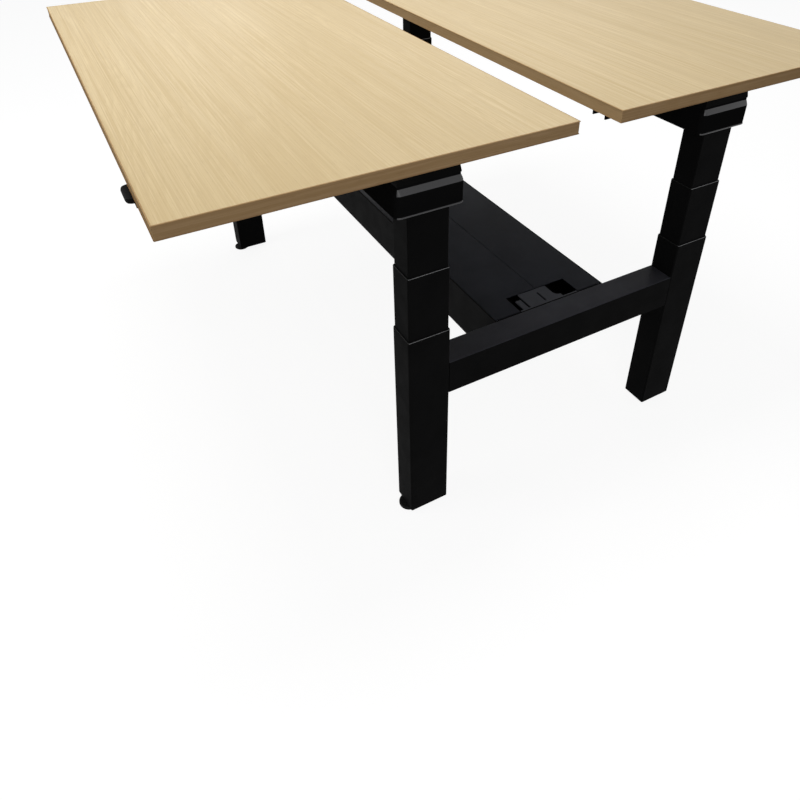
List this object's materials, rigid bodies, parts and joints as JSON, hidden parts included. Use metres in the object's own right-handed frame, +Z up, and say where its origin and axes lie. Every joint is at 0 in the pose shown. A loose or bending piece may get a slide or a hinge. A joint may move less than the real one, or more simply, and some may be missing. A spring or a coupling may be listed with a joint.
{
  "type": "face-to-face height adjustable bench desk",
  "caption": "Face-to-face sit-stand bench: wood-look desktops on telescopic rectangular columns, joined by H frames and a lidded cable tray.",
  "frame": {"origin": "on the floor, under the middle of the bench", "axes": "+X along the bench to the front user's right, +Y from the front desktop to the rear desktop, +Z up"},
  "size_m": [1.48, 1.729, 0.95],
  "materials": {
    "frame_coat": "fine-textured black powder coat",
    "tray_coat": "satin black powder coat",
    "lid_coat": "satin dark grey powder coat",
    "guide_plastic": "moulded grey slide plastic",
    "foot_plastic": "black moulded foot",
    "steel": "turned steel",
    "cast_alloy": "as-cast alloy",
    "motor_can": "dark drawn can",
    "cover_plastic": "fine-grained black moulding",
    "laminate": "pale oak laminate, satin",
    "edge_strip": "wood-look edge band",
    "zinc": "bright zinc",
    "electronics_plastic": "black moulding",
    "paddle_plastic": "satin black moulding"
  },
  "bodies": {
    "frame": {"outer_tubes_front": "frame_coat", "outer_tubes_rear": "frame_coat", "crossbar_right": "frame_coat", "crossbar_left": "frame_coat", "base_plates": "steel", "outer_guides": "guide_plastic", "lower_nuts": "steel", "tray_floor": "tray_coat", "tray_ends": "tray_coat", "tray_sides": "tray_coat", "tray_brackets": "lid_coat", "tray_fixings": "zinc"},
    "desk_front": {"inner_tubes_front": "frame_coat", "inner_guides_front": "guide_plastic", "gear_cases_front": "cast_alloy", "motors_front": "motor_can", "drive_covers_front": "cover_plastic", "column_heads_front": "frame_coat", "support_arms_front": "frame_coat", "cross_rails_front": "frame_coat", "desktop_front": "laminate", "edge_band_front": "edge_strip", "desk_screws_front": "zinc", "control_box_front": "electronics_plastic", "handset_front": "electronics_plastic"},
    "stage_front": {"middle_tubes_front": "frame_coat", "middle_guides_front": "guide_plastic", "nut_carriers_front": "steel"},
    "lid_front": {"tray_lid_front": "lid_coat"},
    "paddle_front": {"paddle_front": "paddle_plastic"},
    "screw_front_right": {"lift_screw_front_right": "steel"},
    "hollow_front_right": {"hollow_screw_front_right": "steel"},
    "foot_front_right": {"glide_front_right": "foot_plastic"},
    "screw_front_left": {"lift_screw_front_left": "steel"},
    "hollow_front_left": {"hollow_screw_front_left": "steel"},
    "foot_front_left": {"glide_front_left": "foot_plastic"},
    "desk_rear": {"inner_tubes_rear": "frame_coat", "inner_guides_rear": "guide_plastic", "gear_cases_rear": "cast_alloy", "motors_rear": "motor_can", "drive_covers_rear": "cover_plastic", "column_heads_rear": "frame_coat", "support_arms_rear": "frame_coat", "cross_rails_rear": "frame_coat", "desktop_rear": "laminate", "edge_band_rear": "edge_strip", "desk_screws_rear": "zinc", "control_box_rear": "electronics_plastic", "handset_rear": "electronics_plastic"},
    "stage_rear": {"middle_tubes_rear": "frame_coat", "middle_guides_rear": "guide_plastic", "nut_carriers_rear": "steel"},
    "lid_rear": {"tray_lid_rear": "lid_coat"},
    "paddle_rear": {"paddle_rear": "paddle_plastic"},
    "screw_rear_right": {"lift_screw_rear_right": "steel"},
    "hollow_rear_right": {"hollow_screw_rear_right": "steel"},
    "foot_rear_right": {"glide_rear_right": "foot_plastic"},
    "screw_rear_left": {"lift_screw_rear_left": "steel"},
    "hollow_rear_left": {"hollow_screw_rear_left": "steel"},
    "foot_rear_left": {"glide_rear_left": "foot_plastic"}
  },
  "joints": [
    {"name": "desk_front_lift", "type": "slide", "parent": "frame", "child": "desk_front", "axis": [0, 0, 1], "range_m": [-0.3, 0.32]},
    {"name": "stage_front_lift", "type": "slide", "parent": "frame", "child": "stage_front", "axis": [0, 0, 1], "range_m": [-0.15, 0.16]},
    {"name": "lid_front_hinge", "type": "hinge", "parent": "frame", "child": "lid_front", "pos_m": [0, -0.1525, 0.445], "axis": [1, 0, 0], "range_deg": [0, 70]},
    {"name": "paddle_front_rock", "type": "hinge", "parent": "desk_front", "child": "paddle_front", "pos_m": [0.54, -0.8225, 0.912], "axis": [-1, 0, 0], "range_deg": [-6, 6], "stiffness_Nm_per_rad": 2},
    {"name": "screw_front_right_turn", "type": "hinge", "parent": "desk_front", "child": "screw_front_right", "pos_m": [0.692, -0.377, 0.6], "axis": [0, 0, 1], "continuous": true},
    {"name": "hollow_front_right_turn", "type": "hinge", "parent": "stage_front", "child": "hollow_front_right", "pos_m": [0.692, -0.377, 0.45], "axis": [0, 0, 1], "continuous": true},
    {"name": "foot_front_right_turn", "type": "hinge", "parent": "frame", "child": "foot_front_right", "pos_m": [0.692, -0.4155, 0.006], "axis": [0, 0, 1], "continuous": true},
    {"name": "screw_front_left_turn", "type": "hinge", "parent": "desk_front", "child": "screw_front_left", "pos_m": [-0.692, -0.377, 0.6], "axis": [0, 0, 1], "continuous": true},
    {"name": "hollow_front_left_turn", "type": "hinge", "parent": "stage_front", "child": "hollow_front_left", "pos_m": [-0.692, -0.377, 0.45], "axis": [0, 0, 1], "continuous": true},
    {"name": "foot_front_left_turn", "type": "hinge", "parent": "frame", "child": "foot_front_left", "pos_m": [-0.692, -0.4155, 0.006], "axis": [0, 0, 1], "continuous": true},
    {"name": "desk_rear_lift", "type": "slide", "parent": "frame", "child": "desk_rear", "axis": [0, 0, 1], "range_m": [-0.3, 0.32]},
    {"name": "stage_rear_lift", "type": "slide", "parent": "frame", "child": "stage_rear", "axis": [0, 0, 1], "range_m": [-0.15, 0.16]},
    {"name": "lid_rear_hinge", "type": "hinge", "parent": "frame", "child": "lid_rear", "pos_m": [0, 0.1525, 0.445], "axis": [-1, 0, 0], "range_deg": [0, 70]},
    {"name": "paddle_rear_rock", "type": "hinge", "parent": "desk_rear", "child": "paddle_rear", "pos_m": [-0.54, 0.8225, 0.912], "axis": [1, 0, 0], "range_deg": [-6, 6], "stiffness_Nm_per_rad": 2},
    {"name": "screw_rear_right_turn", "type": "hinge", "parent": "desk_rear", "child": "screw_rear_right", "pos_m": [0.692, 0.377, 0.6], "axis": [0, 0, 1], "continuous": true},
    {"name": "hollow_rear_right_turn", "type": "hinge", "parent": "stage_rear", "child": "hollow_rear_right", "pos_m": [0.692, 0.377, 0.45], "axis": [0, 0, 1], "continuous": true},
    {"name": "foot_rear_right_turn", "type": "hinge", "parent": "frame", "child": "foot_rear_right", "pos_m": [0.692, 0.4155, 0.006], "axis": [0, 0, 1], "continuous": true},
    {"name": "screw_rear_left_turn", "type": "hinge", "parent": "desk_rear", "child": "screw_rear_left", "pos_m": [-0.692, 0.377, 0.6], "axis": [0, 0, 1], "continuous": true},
    {"name": "hollow_rear_left_turn", "type": "hinge", "parent": "stage_rear", "child": "hollow_rear_left", "pos_m": [-0.692, 0.377, 0.45], "axis": [0, 0, 1], "continuous": true},
    {"name": "foot_rear_left_turn", "type": "hinge", "parent": "frame", "child": "foot_rear_left", "pos_m": [-0.692, 0.4155, 0.006], "axis": [0, 0, 1], "continuous": true}
  ],
  "couplings": [
    {"joint": "stage_front_lift", "follows": "desk_front_lift", "ratio": 0.5},
    {"joint": "screw_front_right_turn", "follows": "desk_front_lift", "rad_per_m": 314.16},
    {"joint": "hollow_front_right_turn", "follows": "desk_front_lift", "rad_per_m": 314.16},
    {"joint": "screw_front_left_turn", "follows": "desk_front_lift", "rad_per_m": 314.16},
    {"joint": "hollow_front_left_turn", "follows": "desk_front_lift", "rad_per_m": 314.16},
    {"joint": "stage_rear_lift", "follows": "desk_rear_lift", "ratio": 0.5},
    {"joint": "screw_rear_right_turn", "follows": "desk_rear_lift", "rad_per_m": 314.16},
    {"joint": "hollow_rear_right_turn", "follows": "desk_rear_lift", "rad_per_m": 314.16},
    {"joint": "screw_rear_left_turn", "follows": "desk_rear_lift", "rad_per_m": 314.16},
    {"joint": "hollow_rear_left_turn", "follows": "desk_rear_lift", "rad_per_m": 314.16}
  ]
}
